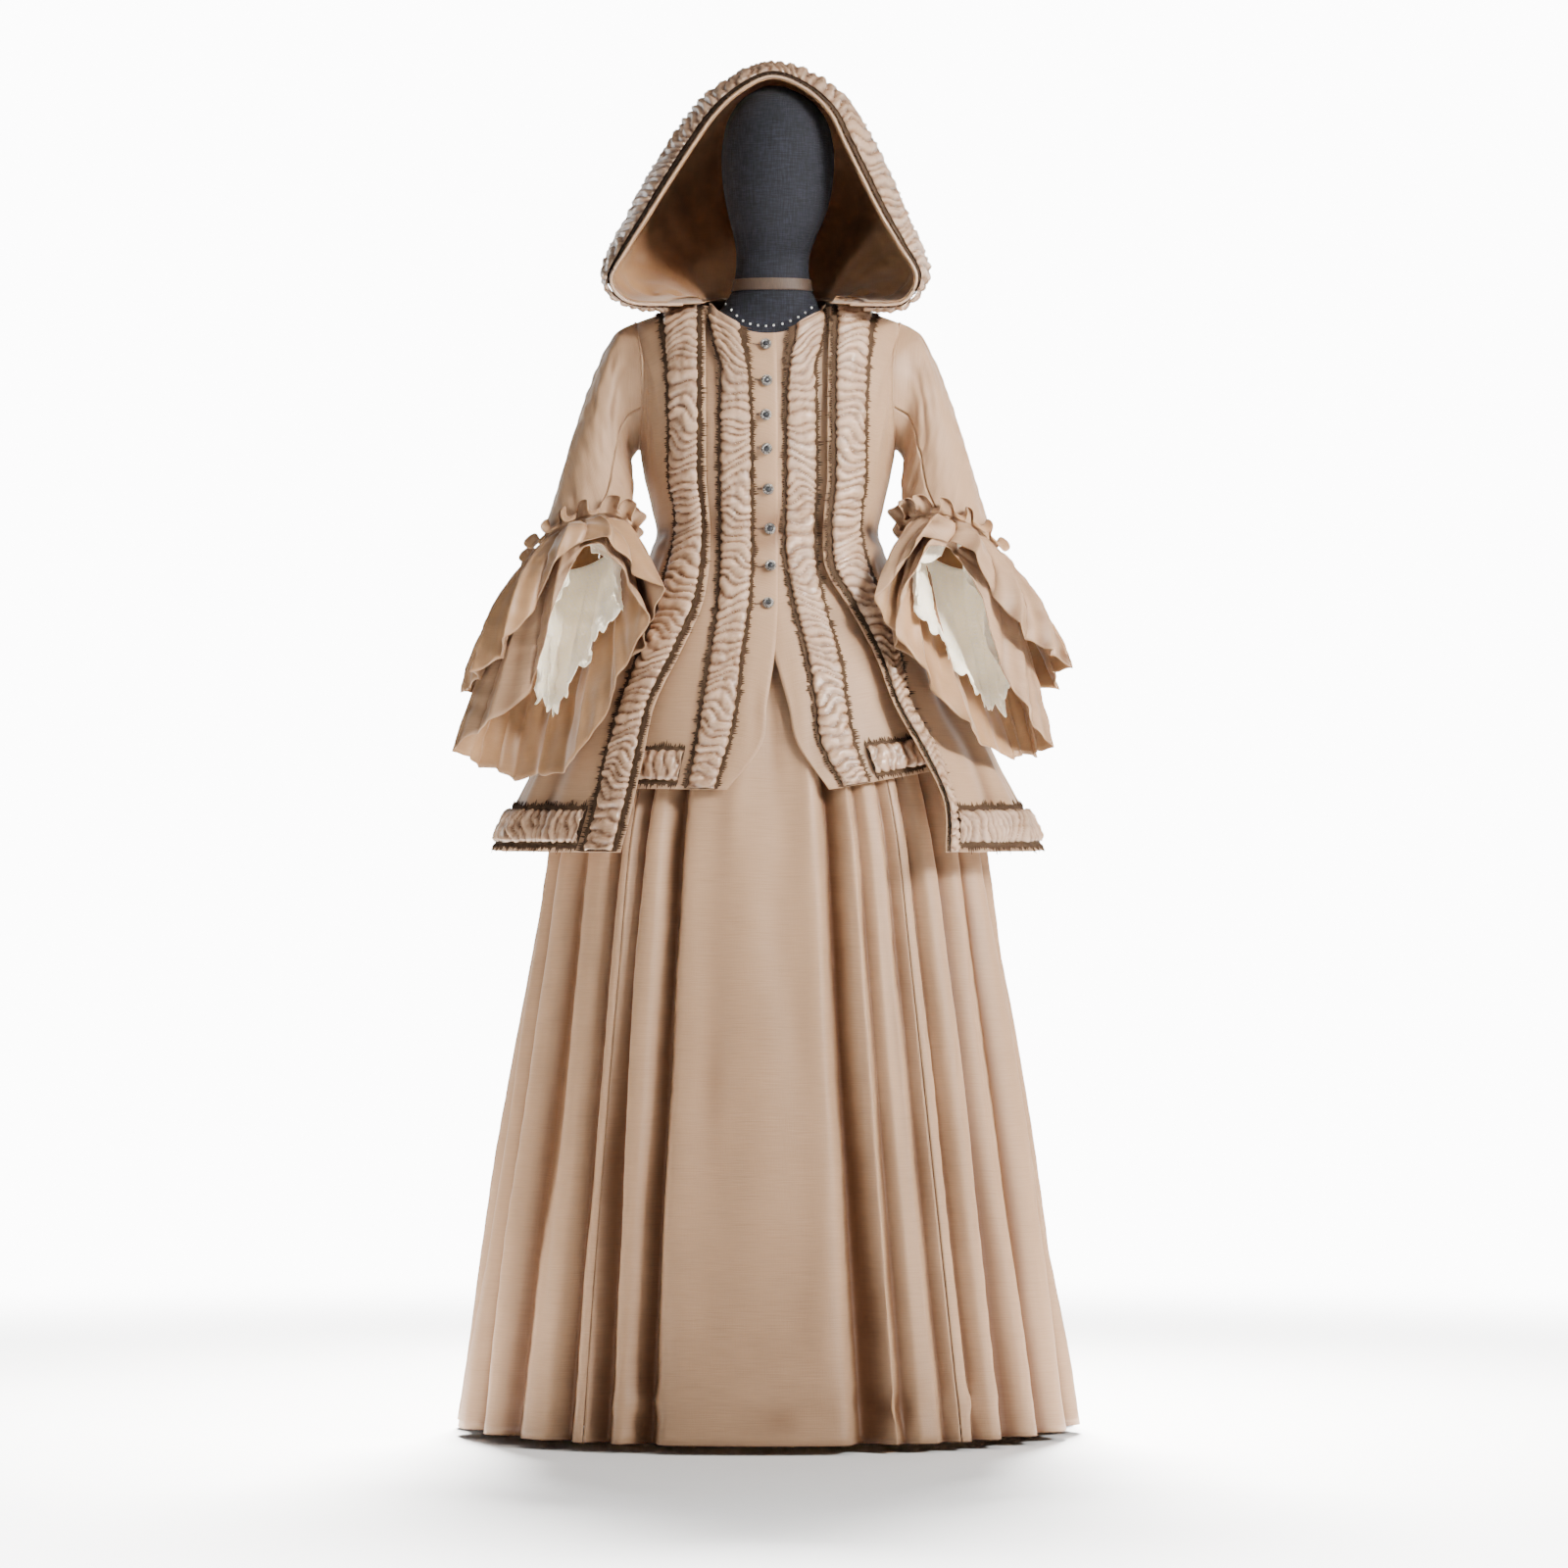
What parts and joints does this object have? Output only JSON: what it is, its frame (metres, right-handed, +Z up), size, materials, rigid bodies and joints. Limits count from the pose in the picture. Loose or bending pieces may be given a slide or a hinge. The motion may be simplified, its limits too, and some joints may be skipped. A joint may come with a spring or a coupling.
{
  "type": "hooded dress and jacket ensemble on a dress form",
  "caption": "Full-length pleated skirt, buttoned waistcoat front and hooded jacket with ruched bands and flounced sleeves, worn by a limbless dress form on a round stand.",
  "frame": {"origin": "centre of the stand base's underside, on the floor", "axes": "+Z up the figure, -Y out of the front, +X toward the viewer's right seen from the front"},
  "size_m": [0.7939, 0.8087, 1.7467],
  "materials": {
    "cloth": "satin",
    "satin": "satin",
    "fray": "matte",
    "lining": "satin",
    "cream": "matte",
    "dark_cloth": "matte",
    "ribbon": "satin",
    "button": "satin",
    "stand": "satin"
  },
  "bodies": {
    "root": {"button_1": "button", "button_2": "button", "button_3": "button", "button_4": "button", "button_5": "button", "button_6": "button", "button_7": "button", "button_8": "button", "cream_cuff_left": "cream", "cream_cuff_right": "cream", "dress_form": "dark_cloth", "flounce_lower_left": "cloth", "flounce_lower_right": "cloth", "flounce_upper_left": "cloth", "flounce_upper_right": "cloth", "hood_left": "cloth", "hood_lining": "lining", "hood_right": "cloth", "hood_rim_band_fray": "fray", "hood_rim_band_ruching": "satin", "jacket_back": "cloth", "jacket_front_band_left_fray": "fray", "jacket_front_band_left_ruching": "satin", "jacket_front_band_right_fray": "fray", "jacket_front_band_right_ruching": "satin", "jacket_front_left": "cloth", "jacket_front_right": "cloth", "jacket_hem_band_fray": "fray", "jacket_hem_band_ruching": "satin", "jacket_side_back_left": "cloth", "jacket_side_back_right": "cloth", "neck_ribbon": "ribbon", "skirt_back_left": "cloth", "skirt_back_right": "cloth", "skirt_front": "cloth", "skirt_side_left": "cloth", "skirt_side_right": "cloth", "skirt_waistband": "cloth", "sleeve_frill_left": "cloth", "sleeve_frill_right": "cloth", "sleeve_top_left": "cloth", "sleeve_top_right": "cloth", "sleeve_under_left": "cloth", "sleeve_under_right": "cloth", "stand_base": "stand", "stand_pole": "stand", "waistcoat_front_left": "cloth", "waistcoat_front_right": "cloth", "waistcoat_hem_left_fray": "fray", "waistcoat_hem_left_ruching": "satin", "waistcoat_hem_right_fray": "fray", "waistcoat_hem_right_ruching": "satin", "waistcoat_left_fray": "fray", "waistcoat_left_ruching": "satin", "waistcoat_right_fray": "fray", "waistcoat_right_ruching": "satin"}
  },
  "joints": []
}
